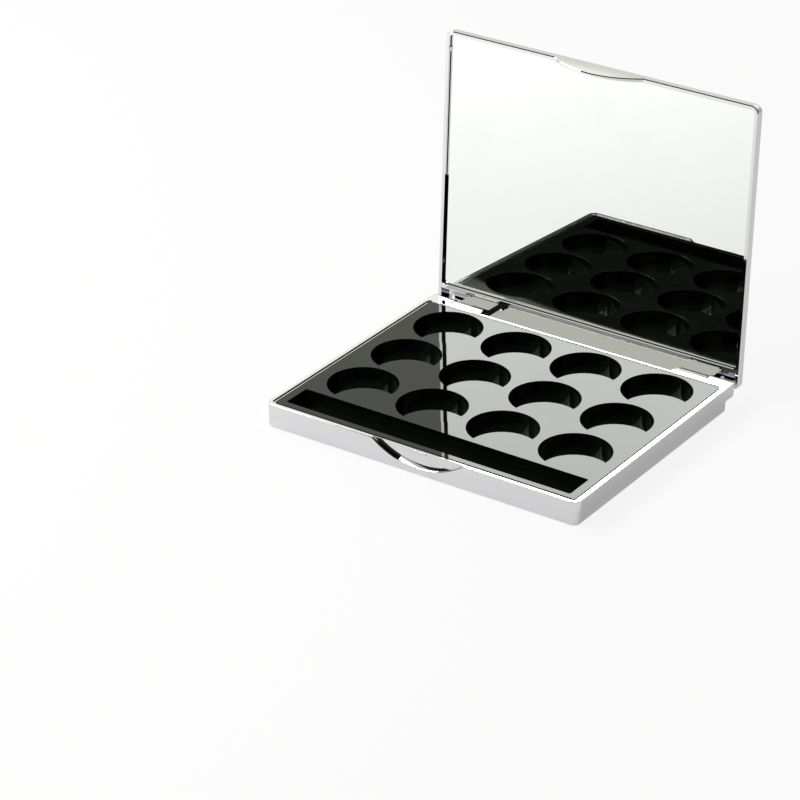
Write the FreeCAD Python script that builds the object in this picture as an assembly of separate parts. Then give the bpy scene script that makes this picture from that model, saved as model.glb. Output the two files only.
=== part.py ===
import FreeCAD, Part
import os
from math import cos, radians, sin, sqrt

# Eyeshadow palette: a slim chromed case with a black twelve-well tray and a mirrored lid.
# Millimetres, +Z up, +Y towards the hinge. The origin is on the underside, below the middle of the
# closed lid. Every node is written as it stands with the lid open.

# Case as a whole
CASE_WIDTH = 132.5
CASE_DEPTH = 110.5
BASE_HEIGHT = 9.55
SEAM_GAP = 0.2
CLOSED_HEIGHT = 14.1
FRONT_CORNER_RADIUS = 3.0
BACK_CORNER_RADIUS = 2.0

# Base case
BASE_WALL = 2.35
BASE_BACK_WALL = 1.3
RIM_WIDTH = 1.6
REAR_RIM_WIDTH = 0.8
REBATE_DEPTH = 0.45
BASE_FLOOR = 1.4
BASE_BACK_Y = 49.3
BASE_BOTTOM_RADIUS = 1.2
RIM_EDGE_RADIUS = 0.25
POCKET_CORNER_RADIUS = 1.0
REBATE_CORNER_RADIUS = 1.7

# Finger notch in the front of the base, with the catch bead that the lid's tab snaps over
NOTCH_HALF_CHORD = 20.0
NOTCH_LOWEST_Z = 2.5
NOTCH_DEPTH = 1.8
NOTCH_EDGE_RADIUS = 0.5
BEAD_LENGTH = 5.6
BEAD_HEIGHT = 1.1
BEAD_PROUD = 0.45
BEAD_CENTRE_Z = 8.5
BEAD_EDGE_RADIUS = 0.25

# Hinge: an ear of the base at each end, a knuckle of the lid beside it, one pin through both
HINGE_Y = 53.9
HINGE_Z = 6.65
OPEN_ANGLE = 92.4
EAR_INNER_X = 56.1
EAR_BACK_Y = 55.2
EAR_UNDERSIDE_Z = 4.4
EAR_LOWER_RADIUS = 1.0
KNUCKLE_OUTER_X = 55.6
KNUCKLE_INNER_X = 42.5
KNUCKLE_FRONT = 2.9
KNUCKLE_BELOW = 2.4
KNUCKLE_FACE_TOP = -0.8
KNUCKLE_NECK_FRONT = 1.5
KNUCKLE_NECK_FOOT = 0.7
KNUCKLE_EDGE_RADIUS = 0.6
HINGE_SWING_RADIUS = 3.95
LIP_ABOVE_AXIS = 0.65
PIN_RADIUS = 0.75
PIN_FIT = 0.01
PIN_RUNNING_CLEARANCE = 0.05
PIN_INNER_X = 46.0
PIN_SINK = 1.25
PIN_CHAMFER = 0.15

# Inner tray
TRAY_FIT = 0.15
TRAY_BELOW_RIM = 0.15
TRAY_PLATE = 1.2
TRAY_SKIRT = 1.2
TRAY_EDGE_RADIUS = 0.3
WELL_RADIUS = 13.3
WELL_DEPTH = 4.4
WELL_COLUMNS = 4
WELL_ROWS = 3
WELL_PITCH_X = 30.4
WELL_PITCH_Y = 28.1
WELL_GRID_Y = 5.2
WELL_WALL = 1.0
MOUTH_EDGE_RADIUS = 0.15
SLOT_LENGTH = 120.6
SLOT_WIDTH = 12.3
SLOT_CENTRE_Y = -44.15
SLOT_DEPTH = 5.0
SLOT_CORNER_RADIUS = 0.6

# Lid and mirror
LID_WALL = 1.5
LID_TOP = 1.4
LID_TOP_RADIUS = 1.7
MIRROR_BACK_Y = 47.45
APRON_THICKNESS = 1.5
APRON_LOWEST_Z = 2.3
APRON_EDGE_RADIUS = 0.6
TAB_GAP = 0.35
TAB_THICKNESS = 1.3
TAB_SET_BACK = 0.3
MIRROR_FIT = 0.3
MIRROR_THICKNESS = 1.3
MIRROR_CORNER_RADIUS = 1.2
NUB_PROUD = 0.5
NUB_LENGTH = 1.6
NUB_HEIGHT = 0.8
NUB_CLEARANCE = 0.05
NUB_ROWS_Y = (38.0, -48.0)
TAPE_THICKNESS = 0.25
TAPE_MARGIN = 4.5

HALF_WIDTH = CASE_WIDTH / 2
FRONT_Y = -CASE_DEPTH / 2
BACK_Y = CASE_DEPTH / 2
LID_RIM_Z = BASE_HEIGHT + SEAM_GAP
LID_CEILING_Z = CLOSED_HEIGHT - LID_TOP
TRAY_TOP_Z = BASE_HEIGHT - TRAY_BELOW_RIM
NOTCH_SAG = BASE_HEIGHT - NOTCH_LOWEST_Z
NOTCH_RADIUS = (NOTCH_HALF_CHORD ** 2 + NOTCH_SAG ** 2) / (2 * NOTCH_SAG)
NOTCH_CENTRE_Z = NOTCH_LOWEST_Z + NOTCH_RADIUS
NOTCH_FACE_Y = FRONT_Y + NOTCH_DEPTH
OVERLAP = 0.5


def vec(x, y, z):
    return FreeCAD.Vector(x, y, z)


def box(x0, x1, y0, y1, z0, z1):
    return Part.makeBox(x1 - x0, y1 - y0, z1 - z0, vec(x0, y0, z0))


def bar_along_x(radius, x0, x1):
    return Part.makeCylinder(radius, x1 - x0, vec(x0, HINGE_Y, HINGE_Z), vec(1, 0, 0))


def prism_along_x(edges, x0, x1):
    profile = Part.Face(Part.Wire(edges))
    profile.translate(vec(x0, 0, 0))
    return profile.extrude(vec(x1 - x0, 0, 0))


def outline(points):
    corners = [vec(0, y, z) for y, z in points]
    return [Part.LineSegment(a, b).toShape() for a, b in zip(corners, corners[1:] + corners[:1])]


def edges_at(shape, test):
    return [edge for edge in shape.Edges if test(edge.BoundBox)]


def is_upright(bounds):
    return bounds.ZLength > 0.1 and bounds.XLength < 1e-6 and bounds.YLength < 1e-6


def is_level_at(bounds, z):
    return abs(bounds.ZMin - z) < 1e-6 and abs(bounds.ZMax - z) < 1e-6


def runs_along_x(bounds, y, z):
    at_y = abs(bounds.YMin - y) < 1e-6 and bounds.YLength < 1e-6
    return at_y and is_level_at(bounds, z)


def rounded_block(x0, x1, y0, y1, z0, z1, front_radius, back_radius):
    block = box(x0, x1, y0, y1, z0, z1)
    middle = (y0 + y1) / 2
    front = edges_at(block, lambda b: is_upright(b) and b.YMin < middle)
    block = block.makeFillet(front_radius, front)
    back = edges_at(block, lambda b: is_upright(b) and b.YMin > y1 - 1e-6)
    return block.makeFillet(back_radius, back)


def mirrored(shape):
    return shape.mirror(vec(0, 0, 0), vec(1, 0, 0))


def both_ends(shape):
    return [shape, mirrored(shape)]


def ear():
    # Block that overhangs the back of the base; its top back edge is struck from the hinge axis.
    swing = BASE_HEIGHT - HINGE_Z
    reach = EAR_BACK_Y - HINGE_Y
    end_z = HINGE_Z + sqrt(swing ** 2 - reach ** 2)
    half = sqrt(0.5)
    low_centre_y = EAR_BACK_Y - EAR_LOWER_RADIUS
    low_centre_z = EAR_UNDERSIDE_Z + EAR_LOWER_RADIUS
    root_y = BASE_BACK_Y - 2 * BACK_CORNER_RADIUS
    middle_turn = radians(75)
    top_arc = Part.Arc(
        vec(0, EAR_BACK_Y, end_z),
        vec(0, HINGE_Y + swing * cos(middle_turn), HINGE_Z + swing * sin(middle_turn)),
        vec(0, HINGE_Y, BASE_HEIGHT),
    )
    low_arc = Part.Arc(
        vec(0, low_centre_y, EAR_UNDERSIDE_Z),
        vec(0, low_centre_y + EAR_LOWER_RADIUS * half, low_centre_z - EAR_LOWER_RADIUS * half),
        vec(0, EAR_BACK_Y, low_centre_z),
    )
    edges = [
        Part.LineSegment(vec(0, root_y, EAR_UNDERSIDE_Z), vec(0, low_centre_y, EAR_UNDERSIDE_Z)).toShape(),
        low_arc.toShape(),
        Part.LineSegment(vec(0, EAR_BACK_Y, low_centre_z), vec(0, EAR_BACK_Y, end_z)).toShape(),
        top_arc.toShape(),
        Part.LineSegment(vec(0, HINGE_Y, BASE_HEIGHT), vec(0, root_y, BASE_HEIGHT)).toShape(),
        Part.LineSegment(vec(0, root_y, BASE_HEIGHT), vec(0, root_y, EAR_UNDERSIDE_Z)).toShape(),
    ]
    block = prism_along_x(edges, EAR_INNER_X, HALF_WIDTH)
    corner_post = rounded_block(0, HALF_WIDTH, 0, EAR_BACK_Y, 0, CLOSED_HEIGHT, 1.0, BACK_CORNER_RADIUS)
    return block.common(corner_post)


def hinge_lip():
    # Ledge of the rear wall over a knuckle, hollowed below to let the knuckle swing.
    lip = box(KNUCKLE_INNER_X - 0.3, EAR_INNER_X, BASE_BACK_Y - 0.8, HINGE_Y,
              HINGE_Z + LIP_ABOVE_AXIS, BASE_HEIGHT)
    return lip.cut(bar_along_x(HINGE_SWING_RADIUS, 0, HALF_WIDTH))


def notch_space():
    # Round-bottomed recess whose front edge is eased, turned about an axis high above the case.
    wall = NOTCH_RADIUS - NOTCH_EDGE_RADIUS
    eased_y = FRONT_Y + NOTCH_EDGE_RADIUS
    half = NOTCH_EDGE_RADIUS * sqrt(0.5)
    start_y = FRONT_Y - 1

    def at(radius, y):
        return vec(radius, y, NOTCH_CENTRE_Z)

    eased_edge = Part.Arc(
        at(wall, eased_y),
        at(NOTCH_RADIUS - half, eased_y - half),
        at(NOTCH_RADIUS, FRONT_Y),
    )
    edges = [
        Part.LineSegment(at(0, start_y), at(0, NOTCH_FACE_Y)).toShape(),
        Part.LineSegment(at(0, NOTCH_FACE_Y), at(wall, NOTCH_FACE_Y)).toShape(),
        Part.LineSegment(at(wall, NOTCH_FACE_Y), at(wall, eased_y)).toShape(),
        eased_edge.toShape(),
        Part.LineSegment(at(NOTCH_RADIUS, FRONT_Y), at(NOTCH_RADIUS, start_y)).toShape(),
        Part.LineSegment(at(NOTCH_RADIUS, start_y), at(0, start_y)).toShape(),
    ]
    profile = Part.Face(Part.Wire(edges))
    return profile.revolve(vec(0, 0, NOTCH_CENTRE_Z), vec(0, 1, 0), 360)


def catch_bead():
    low_z = BEAD_CENTRE_Z - BEAD_HEIGHT / 2
    tip_y = NOTCH_FACE_Y - BEAD_PROUD
    bead = box(-BEAD_LENGTH / 2, BEAD_LENGTH / 2, tip_y, NOTCH_FACE_Y + 0.3, low_z, low_z + BEAD_HEIGHT)
    front = edges_at(bead, lambda b: b.YMax < tip_y + 1e-6)
    return bead.makeFillet(BEAD_EDGE_RADIUS, front)


def base_case():
    shell = rounded_block(-HALF_WIDTH, HALF_WIDTH, FRONT_Y, BASE_BACK_Y, 0, BASE_HEIGHT,
                          FRONT_CORNER_RADIUS, BACK_CORNER_RADIUS)
    shell = shell.makeFillet(BASE_BOTTOM_RADIUS, edges_at(shell, lambda b: is_level_at(b, 0)))
    shell = shell.fuse(both_ends(ear()) + both_ends(hinge_lip())).removeSplitter().Solids[0]
    outer_rim = edges_at(shell, lambda b: is_level_at(b, BASE_HEIGHT) and b.YMin < BASE_BACK_Y - 10)
    shell = shell.makeFillet(RIM_EDGE_RADIUS, outer_rim)
    pocket_x = HALF_WIDTH - BASE_WALL
    pocket_y = BASE_BACK_Y - BASE_BACK_WALL
    shell = shell.cut(rounded_block(-pocket_x, pocket_x, FRONT_Y + BASE_WALL, pocket_y, BASE_FLOOR,
                                    BASE_HEIGHT + 1, POCKET_CORNER_RADIUS, POCKET_CORNER_RADIUS)).Solids[0]
    rebate_x = HALF_WIDTH - RIM_WIDTH
    rebate_y = BASE_BACK_Y - REAR_RIM_WIDTH
    shell = shell.cut(rounded_block(-rebate_x, rebate_x, FRONT_Y + RIM_WIDTH, rebate_y,
                                    BASE_HEIGHT - REBATE_DEPTH, BASE_HEIGHT + 1,
                                    REBATE_CORNER_RADIUS, REBATE_CORNER_RADIUS)).Solids[0]
    inner_rim = edges_at(shell, lambda b: is_level_at(b, BASE_HEIGHT) and b.XMax < rebate_x + 0.01
                         and b.XMin > -rebate_x - 0.01 and b.YMin > FRONT_Y + 1 and b.YMax < rebate_y + 0.01)
    shell = shell.makeFillet(RIM_EDGE_RADIUS, inner_rim)
    shell = shell.cut(notch_space())
    shell = shell.fuse(catch_bead())
    bore = bar_along_x(PIN_RADIUS + PIN_FIT, EAR_INNER_X - 1, HALF_WIDTH + 1)
    return shell.cut(both_ends(bore)).removeSplitter()


def well_centres():
    for row in range(WELL_ROWS):
        for column in range(WELL_COLUMNS):
            x = (column - (WELL_COLUMNS - 1) / 2) * WELL_PITCH_X
            y = WELL_GRID_Y + (row - (WELL_ROWS - 1) / 2) * WELL_PITCH_Y
            yield x, y


def slot_block(margin, depth):
    half_length = SLOT_LENGTH / 2 + margin
    half_width = SLOT_WIDTH / 2 + margin
    radius = SLOT_CORNER_RADIUS + margin
    return rounded_block(-half_length, half_length, SLOT_CENTRE_Y - half_width, SLOT_CENTRE_Y + half_width,
                         TRAY_TOP_Z - depth, TRAY_TOP_Z, radius, radius)


def inner_tray():
    x1 = HALF_WIDTH - BASE_WALL - TRAY_FIT
    y0 = FRONT_Y + BASE_WALL + TRAY_FIT
    y1 = BASE_BACK_Y - BASE_BACK_WALL - TRAY_FIT
    tray = rounded_block(-x1, x1, y0, y1, BASE_FLOOR, TRAY_TOP_Z,
                         POCKET_CORNER_RADIUS, POCKET_CORNER_RADIUS)
    tray = tray.cut(box(-x1 + TRAY_SKIRT, x1 - TRAY_SKIRT, y0 + TRAY_SKIRT, y1 - TRAY_SKIRT,
                        BASE_FLOOR, TRAY_TOP_Z - TRAY_PLATE))
    cup_depth = WELL_DEPTH + WELL_WALL
    cups = [Part.makeCylinder(WELL_RADIUS + WELL_WALL, cup_depth, vec(x, y, TRAY_TOP_Z - cup_depth))
            for x, y in well_centres()]
    inside = rounded_block(-x1, x1, y0, y1, BASE_FLOOR, TRAY_TOP_Z,
                           POCKET_CORNER_RADIUS, POCKET_CORNER_RADIUS)
    cups = [cup.common(inside) for cup in cups]
    tray = tray.fuse(cups + [slot_block(WELL_WALL, SLOT_DEPTH + WELL_WALL)])
    hollows = [Part.makeCylinder(WELL_RADIUS, WELL_DEPTH, vec(x, y, TRAY_TOP_Z - WELL_DEPTH))
               for x, y in well_centres()]
    tray = tray.cut(hollows + [slot_block(0, SLOT_DEPTH)]).removeSplitter()

    def is_mouth(bounds):
        clear_of_ends = bounds.XMin > -x1 + 0.1 and bounds.XMax < x1 - 0.1
        return clear_of_ends and bounds.YMin > y0 + 0.1 and bounds.YMax < y1 - 0.1

    mouths = edges_at(tray, lambda b: is_level_at(b, TRAY_TOP_Z) and is_mouth(b))
    tray = tray.makeFillet(MOUTH_EDGE_RADIUS, mouths)
    rim = edges_at(tray, lambda b: is_level_at(b, TRAY_TOP_Z) and not is_mouth(b))
    return tray.makeFillet(TRAY_EDGE_RADIUS, rim)


def knuckle():
    # Solid block of the lid round the hinge axis; its front face lies level with the base's ledge
    # when the lid is open, and the step above it leaves a groove before the lid's rim.
    front_y = HINGE_Y - KNUCKLE_FRONT
    low_z = HINGE_Z - KNUCKLE_BELOW
    neck_y = HINGE_Y - KNUCKLE_NECK_FRONT
    inside_y = BACK_Y - 0.7
    profile = outline([
        (front_y, low_z), (front_y, HINGE_Z + KNUCKLE_FACE_TOP), (neck_y, HINGE_Z + KNUCKLE_NECK_FOOT),
        (neck_y, LID_CEILING_Z + OVERLAP), (inside_y, LID_CEILING_Z + OVERLAP), (inside_y, low_z),
    ])
    block = prism_along_x(profile, KNUCKLE_INNER_X, KNUCKLE_OUTER_X)
    return block.makeFillet(KNUCKLE_EDGE_RADIUS, edges_at(block, lambda b: runs_along_x(b, front_y, low_z)))


def apron():
    # Rear wall of the lid carried down between the ears. Its lower edge meets the base's back wall
    # when the lid is open, which is the lid's stop.
    low = box(-KNUCKLE_OUTER_X, KNUCKLE_OUTER_X, BACK_Y - APRON_THICKNESS, BACK_Y,
              APRON_LOWEST_Z, LID_RIM_Z + OVERLAP)
    return low.makeFillet(APRON_EDGE_RADIUS, edges_at(low, lambda b: is_level_at(b, APRON_LOWEST_Z)
                                                      and b.XLength > 1))


def finger_tab():
    # Crescent on the front skirt that hangs in the notch, drawn in towards its lower edge.
    radius = NOTCH_RADIUS - NOTCH_EDGE_RADIUS - TAB_GAP
    low_z = NOTCH_CENTRE_Z - radius
    drop = LID_RIM_Z - low_z
    sweep = (drop ** 2 + TAB_SET_BACK ** 2) / (2 * TAB_SET_BACK)
    centre_y = FRONT_Y + sweep
    half_drop = drop / 2
    middle_y = centre_y - sqrt(sweep ** 2 - half_drop ** 2)
    inner_y = FRONT_Y + TAB_THICKNESS
    top_z = LID_RIM_Z + OVERLAP
    face_arc = Part.Arc(
        vec(0, FRONT_Y + TAB_SET_BACK, low_z),
        vec(0, middle_y, LID_RIM_Z - half_drop),
        vec(0, FRONT_Y, LID_RIM_Z),
    )
    edges = [
        face_arc.toShape(),
        Part.LineSegment(vec(0, FRONT_Y, LID_RIM_Z), vec(0, FRONT_Y, top_z)).toShape(),
        Part.LineSegment(vec(0, FRONT_Y, top_z), vec(0, inner_y, top_z)).toShape(),
        Part.LineSegment(vec(0, inner_y, top_z), vec(0, inner_y, low_z)).toShape(),
        Part.LineSegment(vec(0, inner_y, low_z), vec(0, FRONT_Y + TAB_SET_BACK, low_z)).toShape(),
    ]
    strip = prism_along_x(edges, -NOTCH_HALF_CHORD, NOTCH_HALF_CHORD)
    disc = Part.makeCylinder(radius, BASE_WALL + 1, vec(0, FRONT_Y - 1, NOTCH_CENTRE_Z), vec(0, 1, 0))
    return strip.common(disc)


def mirror_nub(y):
    # Snap nub on the side wall that overlaps the edge of the glass.
    wall_x = HALF_WIDTH - LID_WALL
    glass_z = LID_CEILING_Z - TAPE_THICKNESS - MIRROR_THICKNESS - NUB_CLEARANCE
    nub = box(wall_x - NUB_PROUD, wall_x + OVERLAP, y - NUB_LENGTH / 2, y + NUB_LENGTH / 2,
              glass_z - NUB_HEIGHT, glass_z)
    tip = edges_at(nub, lambda b: b.XMax < wall_x - NUB_PROUD + 1e-6 and b.ZMax < glass_z - 0.1)
    return nub.makeFillet(NUB_PROUD / 2, tip)


def opened(shape):
    turned = shape.copy()
    turned.rotate(vec(0, HINGE_Y, HINGE_Z), vec(1, 0, 0), -OPEN_ANGLE)
    return turned


def lid_cover():
    lid = rounded_block(-HALF_WIDTH, HALF_WIDTH, FRONT_Y, BACK_Y, LID_RIM_Z, CLOSED_HEIGHT,
                        FRONT_CORNER_RADIUS, BACK_CORNER_RADIUS)
    lid = lid.makeFillet(LID_TOP_RADIUS, edges_at(lid, lambda b: is_level_at(b, CLOSED_HEIGHT)))
    x1 = HALF_WIDTH - LID_WALL
    lid = lid.cut(rounded_block(-x1, x1, FRONT_Y + LID_WALL, MIRROR_BACK_Y, LID_RIM_Z - 1, LID_CEILING_Z,
                                MIRROR_CORNER_RADIUS, MIRROR_CORNER_RADIUS))
    channel_front = MIRROR_BACK_Y + LID_WALL
    lid = lid.cut(box(-x1, x1, channel_front, BACK_Y - APRON_THICKNESS, LID_RIM_Z - 1, LID_CEILING_Z))
    nubs = [nub for y in NUB_ROWS_Y for nub in both_ends(mirror_nub(y))]
    lid = lid.fuse(both_ends(knuckle()) + nubs + [apron(), finger_tab()])
    bore = bar_along_x(PIN_RADIUS + PIN_RUNNING_CLEARANCE, PIN_INNER_X - OVERLAP, EAR_INNER_X)
    return opened(lid.cut(both_ends(bore)).removeSplitter())


def mirror_sheet(margin, top_z, thickness, radius):
    x1 = HALF_WIDTH - LID_WALL - margin
    return opened(rounded_block(-x1, x1, FRONT_Y + LID_WALL + margin, MIRROR_BACK_Y - margin,
                                top_z - thickness, top_z, radius, radius))


def hinge_pin():
    outer_x = HALF_WIDTH - PIN_SINK
    pin = bar_along_x(PIN_RADIUS, PIN_INNER_X, outer_x)
    ends = edges_at(pin, lambda b: b.XLength < 1e-6)
    return pin.makeChamfer(PIN_CHAMFER, ends)


right_pin = hinge_pin()
nodes = {
    "base_case": base_case(),
    "inner_tray": inner_tray(),
    "hinge_pin_left": mirrored(right_pin),
    "hinge_pin_right": right_pin,
    "lid_cover": lid_cover(),
    "mirror_tape": mirror_sheet(TAPE_MARGIN, LID_CEILING_Z, TAPE_THICKNESS, MIRROR_CORNER_RADIUS),
    "mirror_glass": mirror_sheet(MIRROR_FIT, LID_CEILING_Z - TAPE_THICKNESS, MIRROR_THICKNESS,
                                 MIRROR_CORNER_RADIUS),
}
os.makedirs("parts", exist_ok=True)
for name, shape in nodes.items():
    shape.exportStep(f"parts/{name}.step")
    print(name, "valid" if shape.isValid() else "INVALID", "solids", len(shape.Solids),
          "volume", round(shape.Volume, 1), shape.BoundBox)
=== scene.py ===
import math

import bmesh
import bpy
from mathutils import Matrix, Vector


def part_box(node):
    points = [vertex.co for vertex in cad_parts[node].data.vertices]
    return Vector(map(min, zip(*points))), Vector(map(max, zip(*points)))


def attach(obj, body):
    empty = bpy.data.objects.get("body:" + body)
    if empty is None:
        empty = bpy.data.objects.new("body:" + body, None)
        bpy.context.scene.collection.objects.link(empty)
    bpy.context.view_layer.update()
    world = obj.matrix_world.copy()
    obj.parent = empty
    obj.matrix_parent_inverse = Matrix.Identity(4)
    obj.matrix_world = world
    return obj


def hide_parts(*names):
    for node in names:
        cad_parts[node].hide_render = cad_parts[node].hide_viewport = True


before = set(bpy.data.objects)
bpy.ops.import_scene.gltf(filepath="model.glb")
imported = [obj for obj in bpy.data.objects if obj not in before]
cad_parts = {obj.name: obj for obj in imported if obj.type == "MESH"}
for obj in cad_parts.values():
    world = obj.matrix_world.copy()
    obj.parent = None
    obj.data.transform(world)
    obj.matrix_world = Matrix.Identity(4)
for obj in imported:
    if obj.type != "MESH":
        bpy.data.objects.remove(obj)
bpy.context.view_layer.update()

# Base case: the lower half of the palette, one moulding of ABS with walls, floor, rear ledge, hinge ears
# and finger notch. It is metallised silver in a vacuum and lacquered, so it mirrors the table round it,
# with a faint ripple from the mould and soft smears from handling.


def feed(tree, socket, source):
    """Links a node's socket to another socket, or sets it to a plain value."""
    if isinstance(source, bpy.types.NodeSocket):
        tree.links.new(source, socket)
    else:
        socket.default_value = source


def maths(tree, operation, first, second):
    """The result of one operation on two sockets or values."""
    node = tree.nodes.new("ShaderNodeMath")
    node.operation = operation
    feed(tree, node.inputs[0], first)
    feed(tree, node.inputs[1], second)
    return node.outputs["Value"]


def handling_marks():
    """Smears that dull a polished skin here and there, and the mould's slow ripple below them."""
    smear_begins = 0.48
    smear_full = 0.72
    grain_share = 0.08
    group = bpy.data.node_groups.new("handling_marks", "ShaderNodeTree")
    face = group.interface
    for name in ("Smear Size", "Clean Roughness", "Smeared Roughness", "Ripple Size", "Grain Size"):
        face.new_socket(name=name, in_out="INPUT", socket_type="NodeSocketFloat")
    for name in ("Roughness", "Smear", "Ripple"):
        face.new_socket(name=name, in_out="OUTPUT", socket_type="NodeSocketFloat")
    nodes = group.nodes
    links = group.links
    sizes = nodes.new("NodeGroupInput").outputs
    result = nodes.new("NodeGroupOutput").inputs
    place = nodes.new("ShaderNodeTexCoord")

    def noise_of_size(size_name, detail):
        noise = nodes.new("ShaderNodeTexNoise")
        noise.inputs["Detail"].default_value = detail
        links.new(place.outputs["Object"], noise.inputs["Vector"])
        links.new(maths(group, "DIVIDE", 1.0, sizes[size_name]), noise.inputs["Scale"])
        return noise.outputs["Fac"]

    smear = nodes.new("ShaderNodeMapRange")
    smear.interpolation_type = "SMOOTHSTEP"
    smear.inputs["From Min"].default_value = smear_begins
    smear.inputs["From Max"].default_value = smear_full
    links.new(noise_of_size("Smear Size", detail=4.0), smear.inputs["Value"])
    dulled = nodes.new("ShaderNodeMix")
    links.new(smear.outputs["Result"], dulled.inputs["Factor"])
    links.new(sizes["Clean Roughness"], dulled.inputs["A"])
    links.new(sizes["Smeared Roughness"], dulled.inputs["B"])
    grain = maths(group, "MULTIPLY", noise_of_size("Grain Size", detail=2.0), grain_share)
    links.new(dulled.outputs["Result"], result["Roughness"])
    links.new(smear.outputs["Result"], result["Smear"])
    links.new(maths(group, "ADD", grain, noise_of_size("Ripple Size", detail=1.0)), result["Ripple"])
    return group


marks_group = handling_marks()


def marked_material(name, clean_colour, smeared_colour, sizes, ripple_height):
    """A material whose colour, roughness and surface all follow the handling marks."""
    material = bpy.data.materials.new(name)
    material.use_nodes = True
    nodes = material.node_tree.nodes
    links = material.node_tree.links
    shader = nodes["Principled BSDF"]
    marks = nodes.new("ShaderNodeGroup")
    marks.node_tree = marks_group
    for size_name, size in sizes.items():
        marks.inputs[size_name].default_value = size
    tint = nodes.new("ShaderNodeMix")
    tint.data_type = "RGBA"
    tint.inputs["A"].default_value = (*clean_colour, 1.0)
    tint.inputs["B"].default_value = (*smeared_colour, 1.0)
    bump = nodes.new("ShaderNodeBump")
    bump.inputs["Strength"].default_value = 1.0
    bump.inputs["Distance"].default_value = ripple_height
    links.new(marks.outputs["Smear"], tint.inputs["Factor"])
    links.new(marks.outputs["Roughness"], shader.inputs["Roughness"])
    links.new(marks.outputs["Ripple"], bump.inputs["Height"])
    links.new(tint.outputs["Result"], shader.inputs["Base Color"])
    links.new(bump.outputs["Normal"], shader.inputs["Normal"])
    return material


def polished_piece(name, mesh, material, body, node_name, lean=0.0, chamfers=()):
    """Puts a mesh in the place of its node, shaded so that flats stay flat and roundings run into them."""
    flat_within = math.cos(0.018)
    rounded_within = math.cos(0.5)
    own_axes = Matrix.Rotation(lean, 3, "X").transposed()
    skin = bmesh.new()
    skin.from_mesh(mesh)
    flats = {face for face in skin.faces
             if face.index in chamfers or max(abs(part) for part in own_axes @ face.normal) > flat_within}
    normals = []
    for face in skin.faces:
        for corner in face.loops:
            near = [other for other in corner.vert.link_loops if other.face.normal.dot(face.normal) > rounded_within]
            beside = [other.face.normal for other in near if other.face in flats]
            if face in flats:
                normal = face.normal
            elif beside:
                normal = max(beside, key=face.normal.dot)
            else:
                normal = sum((other.face.normal * other.calc_angle() for other in near), Vector()).normalized()
            normals.append(normal.copy())
    skin.free()
    mesh.shade_smooth()
    mesh.normals_split_custom_set(normals)
    mesh.materials.clear()
    mesh.materials.append(material)
    piece = bpy.data.objects.new(name, mesh)
    bpy.context.collection.objects.link(piece)
    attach(piece, body)
    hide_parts(node_name)


def merged_copy(node_name):
    """The node's own surface with its loose triangles joined into one skin."""
    weld_distance = 0.000001
    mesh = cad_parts[node_name].data.copy()
    skin = bmesh.new()
    skin.from_mesh(mesh)
    bmesh.ops.remove_doubles(skin, verts=skin.verts, dist=weld_distance)
    skin.to_mesh(mesh)
    skin.free()
    return mesh


silver_skin = marked_material(
    "silver_skin", (0.78, 0.765, 0.79), (0.75, 0.735, 0.76),
    {"Smear Size": 0.03, "Clean Roughness": 0.03, "Smeared Roughness": 0.07,
     "Ripple Size": 0.009, "Grain Size": 0.0006},
    ripple_height=0.0000012)
silver_skin.node_tree.nodes["Principled BSDF"].inputs["Metallic"].default_value = 1.0
polished_piece("base_shell", merged_copy("base_case"), silver_skin, "base", "base_case")

# Hinge pins: two short lengths of drawn steel wire, pushed through the ears into the lid's knuckles.
# Their ends sit a little inside the case, with the fine lines of the drawing die along them.
pin_steel = bpy.data.materials.new("pin_steel")
pin_steel.use_nodes = True
pin_nodes = pin_steel.node_tree.nodes
pin_links = pin_steel.node_tree.links
pin_shader = pin_nodes["Principled BSDF"]
pin_shader.inputs["Metallic"].default_value = 1.0
pin_place = pin_nodes.new("ShaderNodeTexCoord")
pin_stretch = pin_nodes.new("ShaderNodeMapping")
pin_stretch.inputs["Scale"].default_value = (150.0, 6000.0, 6000.0)
pin_lines = pin_nodes.new("ShaderNodeTexNoise")
pin_lines.inputs["Scale"].default_value = 1.0
pin_lines.inputs["Detail"].default_value = 3.0
pin_tone = pin_nodes.new("ShaderNodeValToRGB")
pin_tone.color_ramp.elements[0].position = 0.3
pin_tone.color_ramp.elements[0].color = (0.30, 0.30, 0.31, 1.0)
pin_tone.color_ramp.elements[1].position = 0.7
pin_tone.color_ramp.elements[1].color = (0.60, 0.60, 0.61, 1.0)
pin_polish = pin_nodes.new("ShaderNodeMapRange")
pin_polish.inputs["To Min"].default_value = 0.22
pin_polish.inputs["To Max"].default_value = 0.42
pin_links.new(pin_place.outputs["Object"], pin_stretch.inputs["Vector"])
pin_links.new(pin_stretch.outputs["Vector"], pin_lines.inputs["Vector"])
pin_links.new(pin_lines.outputs["Fac"], pin_tone.inputs["Fac"])
pin_links.new(pin_lines.outputs["Fac"], pin_polish.inputs["Value"])
pin_links.new(pin_tone.outputs["Color"], pin_shader.inputs["Base Color"])
pin_links.new(pin_polish.outputs["Result"], pin_shader.inputs["Roughness"])
for side in ("left", "right"):
    polished_piece(f"pin_{side}", merged_copy(f"hinge_pin_{side}"), pin_steel, "base",
                   f"hinge_pin_{side}")

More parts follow.
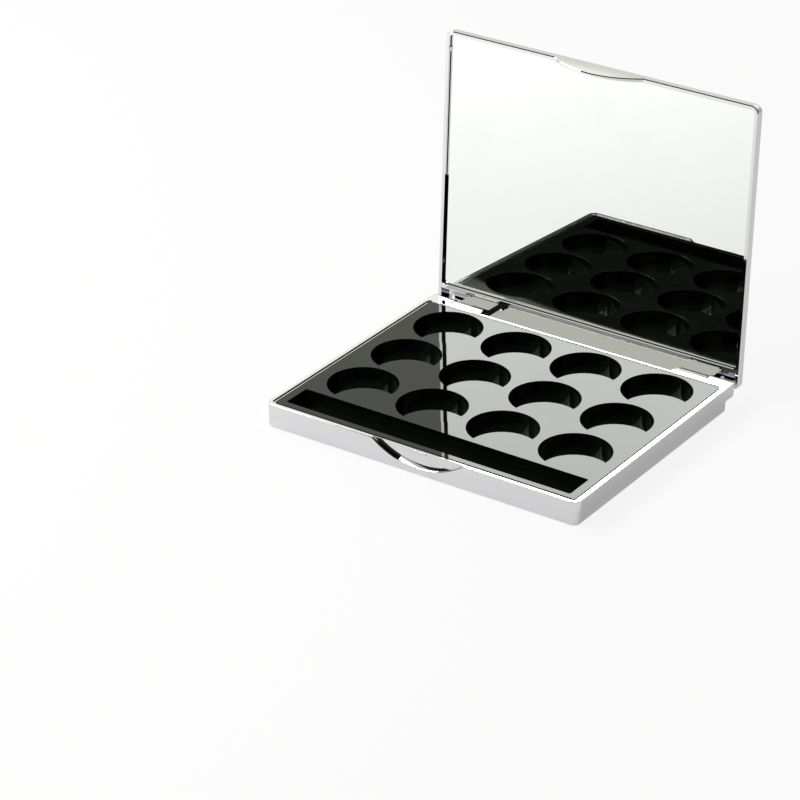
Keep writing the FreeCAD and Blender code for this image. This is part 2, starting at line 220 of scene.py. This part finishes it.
# Inner tray: a glossy black moulding dropped into the base, a rounded plate with a grid of round wells for
# the pans and one long slot at the front. The polished mould leaves it almost as smooth as glass.
tray_sizes = {
    "Length": 0.1275, "Width": 0.1006, "Centre Y": -0.00245, "Top": 0.0094, "Height": 0.008,
    "Corner": 0.001, "Edge": 0.0001,
    "Pitch X": 0.0304, "Pitch Y": 0.0281, "Grid Y": 0.0052,
    "Well Radius": 0.0133, "Well Depth": 0.0044, "Mouth": 0.00006,
    "Slot Length": 0.1206, "Slot Width": 0.0123, "Slot Y": -0.04415, "Slot Depth": 0.005, "Slot Corner": 0.0006,
}
tray_counts = {"Columns": 4, "Rows": 3}


def tray_moulding():
    """The tray as a rule: every wall is a rounded lip swept round its outline, every floor that outline filled."""
    corner_steps = 10
    lip_steps = 5
    ring_steps = 128
    edge_reach = -1.2
    mouth_reach = 1.5
    level_slack = 0.00001
    weld_distance = 0.000002
    tree = bpy.data.node_groups.new("tray_moulding", "GeometryNodeTree")
    face = tree.interface
    for name in tray_sizes:
        face.new_socket(name=name, in_out="INPUT", socket_type="NodeSocketFloat")
    for name in tray_counts:
        face.new_socket(name=name, in_out="INPUT", socket_type="NodeSocketInt")
    face.new_socket(name="Gloss", in_out="INPUT", socket_type="NodeSocketMaterial")
    face.new_socket(name="Tray", in_out="OUTPUT", socket_type="NodeSocketGeometry")
    nodes = tree.nodes
    links = tree.links
    size = nodes.new("NodeGroupInput").outputs

    def made(kind, **sources):
        node = nodes.new(kind)
        for name, source in sources.items():
            feed(tree, node.inputs[name.replace("_", " ")], source)
        return node

    def times(first, second):
        return maths(tree, "MULTIPLY", first, second)

    def at(x=0.0, y=0.0, z=0.0):
        return made("ShaderNodeCombineXYZ", X=x, Y=y, Z=z).outputs["Vector"]

    def moved(geometry, place):
        return made("GeometryNodeTransform", Geometry=geometry, Translation=place).outputs["Geometry"]

    def joined(*parts):
        node = nodes.new("GeometryNodeJoinGeometry")
        for part in parts:
            links.new(part, node.inputs["Geometry"])
        return node.outputs["Geometry"]

    def eased(line, radius, steps):
        node = nodes.new("GeometryNodeFilletCurve")
        node.mode = "POLY"
        links.new(line, node.inputs["Curve"])
        links.new(radius, node.inputs["Radius"])
        node.inputs["Count"].default_value = steps
        return node.outputs["Curve"]

    def rounded_outline(length, width, corner, middle_y):
        sides = made("GeometryNodeCurvePrimitiveQuadrilateral", Width=length, Height=width)
        return moved(eased(sides.outputs["Curve"], corner, corner_steps), at(y=middle_y))

    def wall_and_floor(outline, lip_radius, lip_reach, drop):
        # Three points make the lip: its end on the plate, the corner itself and the foot of the wall.
        place = nodes.new("GeometryNodeIndexSwitch")
        place.data_type = "VECTOR"
        place.index_switch_items.new()
        links.new(nodes.new("GeometryNodeInputIndex").outputs["Index"], place.inputs["Index"])
        links.new(at(x=times(lip_radius, lip_reach)), place.inputs[1])
        links.new(at(y=drop), place.inputs[3])
        corners = made("GeometryNodePoints", Count=3, Position=place.outputs["Output"])
        line = made("GeometryNodePointsToCurves", Points=corners.outputs["Points"])
        lip = eased(line.outputs["Curves"], lip_radius, lip_steps)
        wall = made("GeometryNodeCurveToMesh", Curve=outline, Profile_Curve=lip)
        floor = made("GeometryNodeFillCurve", Curve=outline)
        sunk = moved(floor.outputs["Mesh"], at(z=times(drop, -1.0)))
        return joined(wall.outputs["Mesh"], sunk)

    def grid_span(pitch, count):
        return times(pitch, maths(tree, "SUBTRACT", count, 1.0))

    outer = wall_and_floor(rounded_outline(size["Length"], size["Width"], size["Corner"], size["Centre Y"]),
                           size["Edge"], edge_reach, size["Height"])
    slot = wall_and_floor(
        rounded_outline(size["Slot Length"], size["Slot Width"], size["Slot Corner"], size["Slot Y"]),
        size["Mouth"], mouth_reach, size["Slot Depth"])
    ring = made("GeometryNodeCurvePrimitiveCircle", Radius=size["Well Radius"], Resolution=ring_steps)
    well = wall_and_floor(ring.outputs["Curve"], size["Mouth"], mouth_reach, size["Well Depth"])
    grid = made("GeometryNodeMeshGrid",
                Size_X=grid_span(size["Pitch X"], size["Columns"]), Size_Y=grid_span(size["Pitch Y"], size["Rows"]),
                Vertices_X=size["Columns"], Vertices_Y=size["Rows"])
    spots = moved(grid.outputs["Mesh"], at(y=size["Grid Y"]))
    wells = made("GeometryNodeInstanceOnPoints", Points=spots, Instance=well)
    sunk_parts = made("GeometryNodeRealizeInstances",
                      Geometry=joined(outer, slot, wells.outputs["Instances"])).outputs["Geometry"]

    # The top plate spans the open rims that the walls leave at its level.
    rim_side = nodes.new("FunctionNodeCompare")
    rim_side.data_type = "INT"
    rim_side.operation = "EQUAL"
    links.new(nodes.new("GeometryNodeInputMeshEdgeNeighbors").outputs["Face Count"], rim_side.inputs[2])
    rim_side.inputs[3].default_value = 1
    level = made("ShaderNodeSeparateXYZ", Vector=nodes.new("GeometryNodeInputPosition").outputs["Position"])
    at_top = nodes.new("FunctionNodeCompare")
    at_top.operation = "GREATER_THAN"
    links.new(level.outputs["Z"], at_top.inputs[0])
    at_top.inputs[1].default_value = -level_slack
    is_rim = nodes.new("FunctionNodeBooleanMath")
    links.new(rim_side.outputs["Result"], is_rim.inputs[0])
    links.new(at_top.outputs["Result"], is_rim.inputs[1])
    rims = made("GeometryNodeMeshToCurve", Mesh=sunk_parts, Selection=is_rim.outputs["Boolean"])
    plate = made("GeometryNodeFillCurve", Curve=rims.outputs["Curve"])
    whole = made("GeometryNodeMergeByDistance", Geometry=joined(sunk_parts, plate.outputs["Mesh"]),
                 Distance=weld_distance)
    raised = moved(whole.outputs["Geometry"], at(z=size["Top"]))
    realized = made("GeometryNodeRealizeInstances", Geometry=raised)
    glossed = made("GeometryNodeSetMaterial", Geometry=realized.outputs["Geometry"], Material=size["Gloss"])
    links.new(glossed.outputs["Geometry"], nodes.new("NodeGroupOutput").inputs["Tray"])
    return tree


black_gloss = marked_material(
    "black_gloss", (0.0025, 0.004, 0.0028), (0.005, 0.007, 0.0053),
    {"Smear Size": 0.025, "Clean Roughness": 0.02, "Smeared Roughness": 0.05,
     "Ripple Size": 0.012, "Grain Size": 0.0005},
    ripple_height=0.000001)
black_gloss.node_tree.nodes["Principled BSDF"].inputs["IOR"].default_value = 1.33
tray_rule = tray_moulding()
tray_blank = bpy.data.objects.new("tray_blank", bpy.data.meshes.new("tray_blank"))
bpy.context.collection.objects.link(tray_blank)
tray_maker = tray_blank.modifiers.new("tray_moulding", "NODES")
tray_maker.node_group = tray_rule
tray_values = {**tray_sizes, **tray_counts, "Gloss": black_gloss}
for item in tray_rule.interface.items_tree:
    if item.in_out == "INPUT":
        tray_maker[item.identifier] = tray_values[item.name]
tray_made = tray_blank.evaluated_get(bpy.context.evaluated_depsgraph_get())
tray_mesh = bpy.data.meshes.new_from_object(tray_made)
bpy.data.objects.remove(tray_blank)
tray_skin = bmesh.new()
tray_skin.from_mesh(tray_mesh)
bmesh.ops.recalc_face_normals(tray_skin, faces=tray_skin.faces)
tray_skin.to_mesh(tray_mesh)
tray_skin.free()
polished_piece("tray", tray_mesh, black_gloss, "base", "inner_tray")

# Lid cover: the upper half of the case, the same silvered ABS, with skirt, rear rib, apron and finger tab.
# It turns on the pins by its two knuckles. A fine chamfer runs round the outer edge of its rim and its tab.
lid_mesh = merged_copy("lid_cover")
lid_skin = bmesh.new()
lid_skin.from_mesh(lid_mesh)
lid_low, lid_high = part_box("lid_cover")
lid_middle = (Vector(lid_low) + Vector(lid_high)) / 2
lid_lean = math.radians(2.4)
rim_facing = Vector((0.0, -math.cos(lid_lean), math.sin(lid_lean)))
rim_chamfer = 0.0003
rim_slack = 0.00005
straight_cut_perimeter = 0.02
tab_half_length = 0.03
tab_lowest = 0.1
rim_level = max(corner.co.dot(rim_facing) for corner in lid_skin.verts
                if corner.co.z > tab_lowest and abs(corner.co.x) > tab_half_length)


def is_outer_rim(edge):
    """True for a square edge between a side that faces out and the rim, or the tab's tip, that faces the front."""
    rim_to_front = 0.74
    side_to_front = 0.24
    side_distance = 0.01
    if len(edge.link_faces) != 2 or not edge.is_convex:
        return False
    rim, side = sorted(edge.link_faces, key=lambda part: -part.normal.dot(rim_facing))
    is_square = rim.normal.dot(rim_facing) > rim_to_front and abs(side.normal.dot(rim_facing)) < side_to_front
    proud = [corner.co.dot(rim_facing) - rim_level for corner in edge.verts]
    on_rim = max(abs(reach) for reach in proud) < rim_slack
    on_tab = min(proud) > -rim_slack and min(corner.co.z for corner in edge.verts) > tab_lowest
    outwards = (edge.verts[0].co + edge.verts[1].co) / 2 - lid_middle
    return (on_rim or on_tab) and is_square and side.normal.dot(outwards) > side_distance


rim_cut = bmesh.ops.bevel(lid_skin, geom=[edge for edge in lid_skin.edges if is_outer_rim(edge)],
                          offset=rim_chamfer, segments=1, profile=0.5, affect="EDGES")
lid_skin.faces.index_update()
straight_cuts = {face.index for face in rim_cut["faces"] if face.calc_perimeter() > straight_cut_perimeter}
lid_skin.to_mesh(lid_mesh)
lid_skin.free()
polished_piece("lid_shell", lid_mesh, silver_skin, "lid", "lid_cover", -lid_lean, straight_cuts)

# Mirror tape: a sheet of white double-sided foam that sticks the glass to the lid. It is hidden behind the
# glass, and only its cut edge could ever be seen.
foam_tape = bpy.data.materials.new("foam_tape")
foam_tape.use_nodes = True
foam_nodes = foam_tape.node_tree.nodes
foam_links = foam_tape.node_tree.links
foam_shader = foam_nodes["Principled BSDF"]
foam_shader.inputs["Roughness"].default_value = 0.9
foam_place = foam_nodes.new("ShaderNodeTexCoord")
foam_cells = foam_nodes.new("ShaderNodeTexVoronoi")
foam_cells.inputs["Scale"].default_value = 6000.0
foam_tone = foam_nodes.new("ShaderNodeValToRGB")
foam_tone.color_ramp.elements[0].color = (0.70, 0.70, 0.66, 1.0)
foam_tone.color_ramp.elements[1].color = (0.88, 0.88, 0.85, 1.0)
foam_bump = foam_nodes.new("ShaderNodeBump")
foam_bump.inputs["Distance"].default_value = 0.00003
foam_links.new(foam_place.outputs["Object"], foam_cells.inputs["Vector"])
foam_links.new(foam_cells.outputs["Distance"], foam_tone.inputs["Fac"])
foam_links.new(foam_cells.outputs["Distance"], foam_bump.inputs["Height"])
foam_links.new(foam_tone.outputs["Color"], foam_shader.inputs["Base Color"])
foam_links.new(foam_bump.outputs["Normal"], foam_shader.inputs["Normal"])
tape_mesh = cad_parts["mirror_tape"].data
tape_mesh.materials.clear()
tape_mesh.materials.append(foam_tape)

# Mirror: a sheet of float glass, silvered and cut to fill the lid's recess, where the tape and four nubs hold it.
# It is wiped clean but for faint smears.
mirror_silver = marked_material(
    "mirror_silver", (0.94, 0.95, 0.945), (0.92, 0.93, 0.925),
    {"Smear Size": 0.035, "Clean Roughness": 0.0, "Smeared Roughness": 0.02,
     "Ripple Size": 0.05, "Grain Size": 0.01},
    ripple_height=0.0000002)
mirror_silver.node_tree.nodes["Principled BSDF"].inputs["Metallic"].default_value = 1.0
glass_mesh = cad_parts["mirror_glass"].data
glass_mesh.materials.clear()
glass_mesh.materials.append(mirror_silver)

# Table and light: a broad matt white table top, and a softbox at the front left with a dim skirt and hem below it.
# A fill panel stands at the left. The room is pale behind the palette, and dark in front of it and overhead,
# which draws the dark lines in the silver.
half_table = 3.0
table_mesh = bpy.data.meshes.new("table_top")
table_mesh.from_pydata(
    [(-half_table, -half_table, 0.0), (half_table, -half_table, 0.0),
     (half_table, half_table, 0.0), (-half_table, half_table, 0.0)],
    [], [(0, 1, 2, 3)])
table = bpy.data.objects.new("table_top", table_mesh)
bpy.context.collection.objects.link(table)
table_paper = bpy.data.materials.new("table_paper")
table_paper.use_nodes = True
table_tree = table_paper.node_tree
table_nodes = table_tree.nodes
table_links = table_tree.links
table_shader = table_nodes["Principled BSDF"]
table_shader.inputs["Base Color"].default_value = (0.9, 0.9, 0.9, 1.0)
table_shader.inputs["Roughness"].default_value = 0.85
table_shader.inputs["Specular IOR Level"].default_value = 0.1
table_white = table_nodes.new("ShaderNodeEmission")
table_blend = table_nodes.new("ShaderNodeMixShader")
ray_kind = table_nodes.new("ShaderNodeLightPath")
white_share_seen = 0.88
white_share_mirrored = 0.4
seen_white = maths(table_tree, "MULTIPLY", ray_kind.outputs["Is Camera Ray"], white_share_seen)
mirrored_white = maths(table_tree, "MULTIPLY", ray_kind.outputs["Is Glossy Ray"], white_share_mirrored)
table_links.new(maths(table_tree, "MAXIMUM", seen_white, mirrored_white), table_blend.inputs["Fac"])
table_links.new(table_shader.outputs["BSDF"], table_blend.inputs[1])
table_links.new(table_white.outputs["Emission"], table_blend.inputs[2])
table_links.new(table_blend.outputs["Shader"], table_nodes["Material Output"].inputs["Surface"])
table_mesh.materials.append(table_paper)

softbox_bearing = Vector((-0.565, -0.825, 0.0)).normalized()
softbox_distance = 0.5806
softbox_level = 0.3927
softbox_tilt = math.radians(38)
softbox_roll = math.radians(19.2)
up = Vector((0.0, 0.0, 1.0))
level_edge = up.cross(softbox_bearing)
upright_edge = up * math.cos(softbox_tilt) - softbox_bearing * math.sin(softbox_tilt)
lower_edge = level_edge * math.cos(softbox_roll) + upright_edge * math.sin(softbox_roll)
side_edge = upright_edge * math.cos(softbox_roll) - level_edge * math.sin(softbox_roll)
lamp_turn = Matrix((lower_edge, side_edge, lower_edge.cross(side_edge))).transposed().to_euler()
lower_middle = softbox_bearing * softbox_distance + up * softbox_level


def lamp_panel(name, width, height, radiance, colour, centre, turn):
    """An even panel of light, as bright as its radiance says wherever it is mirrored."""
    lamp = bpy.data.lights.new(name, "AREA")
    lamp.shape = "RECTANGLE"
    lamp.size = width
    lamp.size_y = height
    lamp.energy = radiance * math.pi * width * height
    lamp.color = colour
    stand = bpy.data.objects.new(name, lamp)
    stand.rotation_euler = turn
    stand.location = centre
    bpy.context.collection.objects.link(stand)


softbox_width = 0.42
softbox_height = 0.14
skirt_height = 0.02
hem_height = 0.107
lamp_panel("softbox", softbox_width, softbox_height, radiance=8.0, colour=(0.985, 1.0, 0.96),
           centre=lower_middle + side_edge * softbox_height / 2, turn=lamp_turn)
lamp_panel("softbox_skirt", softbox_width, skirt_height, radiance=1.3, colour=(0.96, 1.0, 0.86),
           centre=lower_middle - side_edge * skirt_height / 2, turn=lamp_turn)
lamp_panel("softbox_hem", softbox_width, hem_height, radiance=0.7, colour=(0.95, 1.0, 0.85),
           centre=lower_middle - side_edge * (skirt_height + hem_height / 2), turn=lamp_turn)
fill_place = Vector((-0.63, -0.09, 0.63))
lamp_panel("fill_panel", width=0.9, height=0.27, radiance=7.5, colour=(1.0, 1.0, 1.0),
           centre=fill_place, turn=fill_place.to_track_quat("Z", "Y").to_euler())

room = bpy.data.worlds.new("pale_room")
bpy.context.scene.world = room
room.use_nodes = True
room_tree = room.node_tree
room_light = room_tree.nodes["Background"]
room_light.inputs["Color"].default_value = (0.98, 1.0, 0.88, 1.0)
room_place = room_tree.nodes.new("ShaderNodeTexCoord")
room_axes = room_tree.nodes.new("ShaderNodeSeparateXYZ")
room_tree.links.new(room_place.outputs["Generated"], room_axes.inputs["Vector"])


def room_shade(axis, start, end, tone_at_start, tone_at_end):
    """A soft step in the room's brightness along one axis of the view direction."""
    step = room_tree.nodes.new("ShaderNodeMapRange")
    step.interpolation_type = "SMOOTHSTEP"
    for name, value in (("From Min", start), ("From Max", end), ("To Min", tone_at_start), ("To Max", tone_at_end)):
        step.inputs[name].default_value = value
    room_tree.links.new(room_axes.outputs[axis], step.inputs["Value"])
    return step.outputs["Result"]


back_wall = room_shade("Y", start=-0.45, end=0.1, tone_at_start=0.03, tone_at_end=1.1)
above_table = room_shade("Z", start=0.28, end=0.44, tone_at_start=0.72, tone_at_end=1.0)
below_ceiling = room_shade("Z", start=0.6, end=0.74, tone_at_start=1.0, tone_at_end=0.03)
away_from_right = room_shade("X", start=0.1, end=0.7, tone_at_start=1.0, tone_at_end=0.35)
wall_height = maths(room_tree, "MULTIPLY", above_table, below_ceiling)
wall_tone = maths(room_tree, "MULTIPLY", back_wall, wall_height)
room_tree.links.new(maths(room_tree, "MULTIPLY", wall_tone, away_from_right), room_light.inputs["Strength"])

# Camera: a long lens at the front right, looking down on the open palette at about 28 degrees.
# The palette lies to the right of the picture's middle, with the white table all round it.
camera_dip = math.radians(27.655)
camera_bearing = math.radians(34.383)
camera = bpy.data.cameras.new("camera")
camera.sensor_width = 36.0
camera.lens = 150.94
camera_stand = bpy.data.objects.new("camera", camera)
camera_stand.location = (0.580391, -0.913854, 0.573179)
camera_stand.rotation_euler = (math.pi / 2 - camera_dip, 0.0, camera_bearing)
bpy.context.collection.objects.link(camera_stand)
bpy.context.scene.camera = camera_stand
bpy.context.scene.view_settings.view_transform = "Standard"
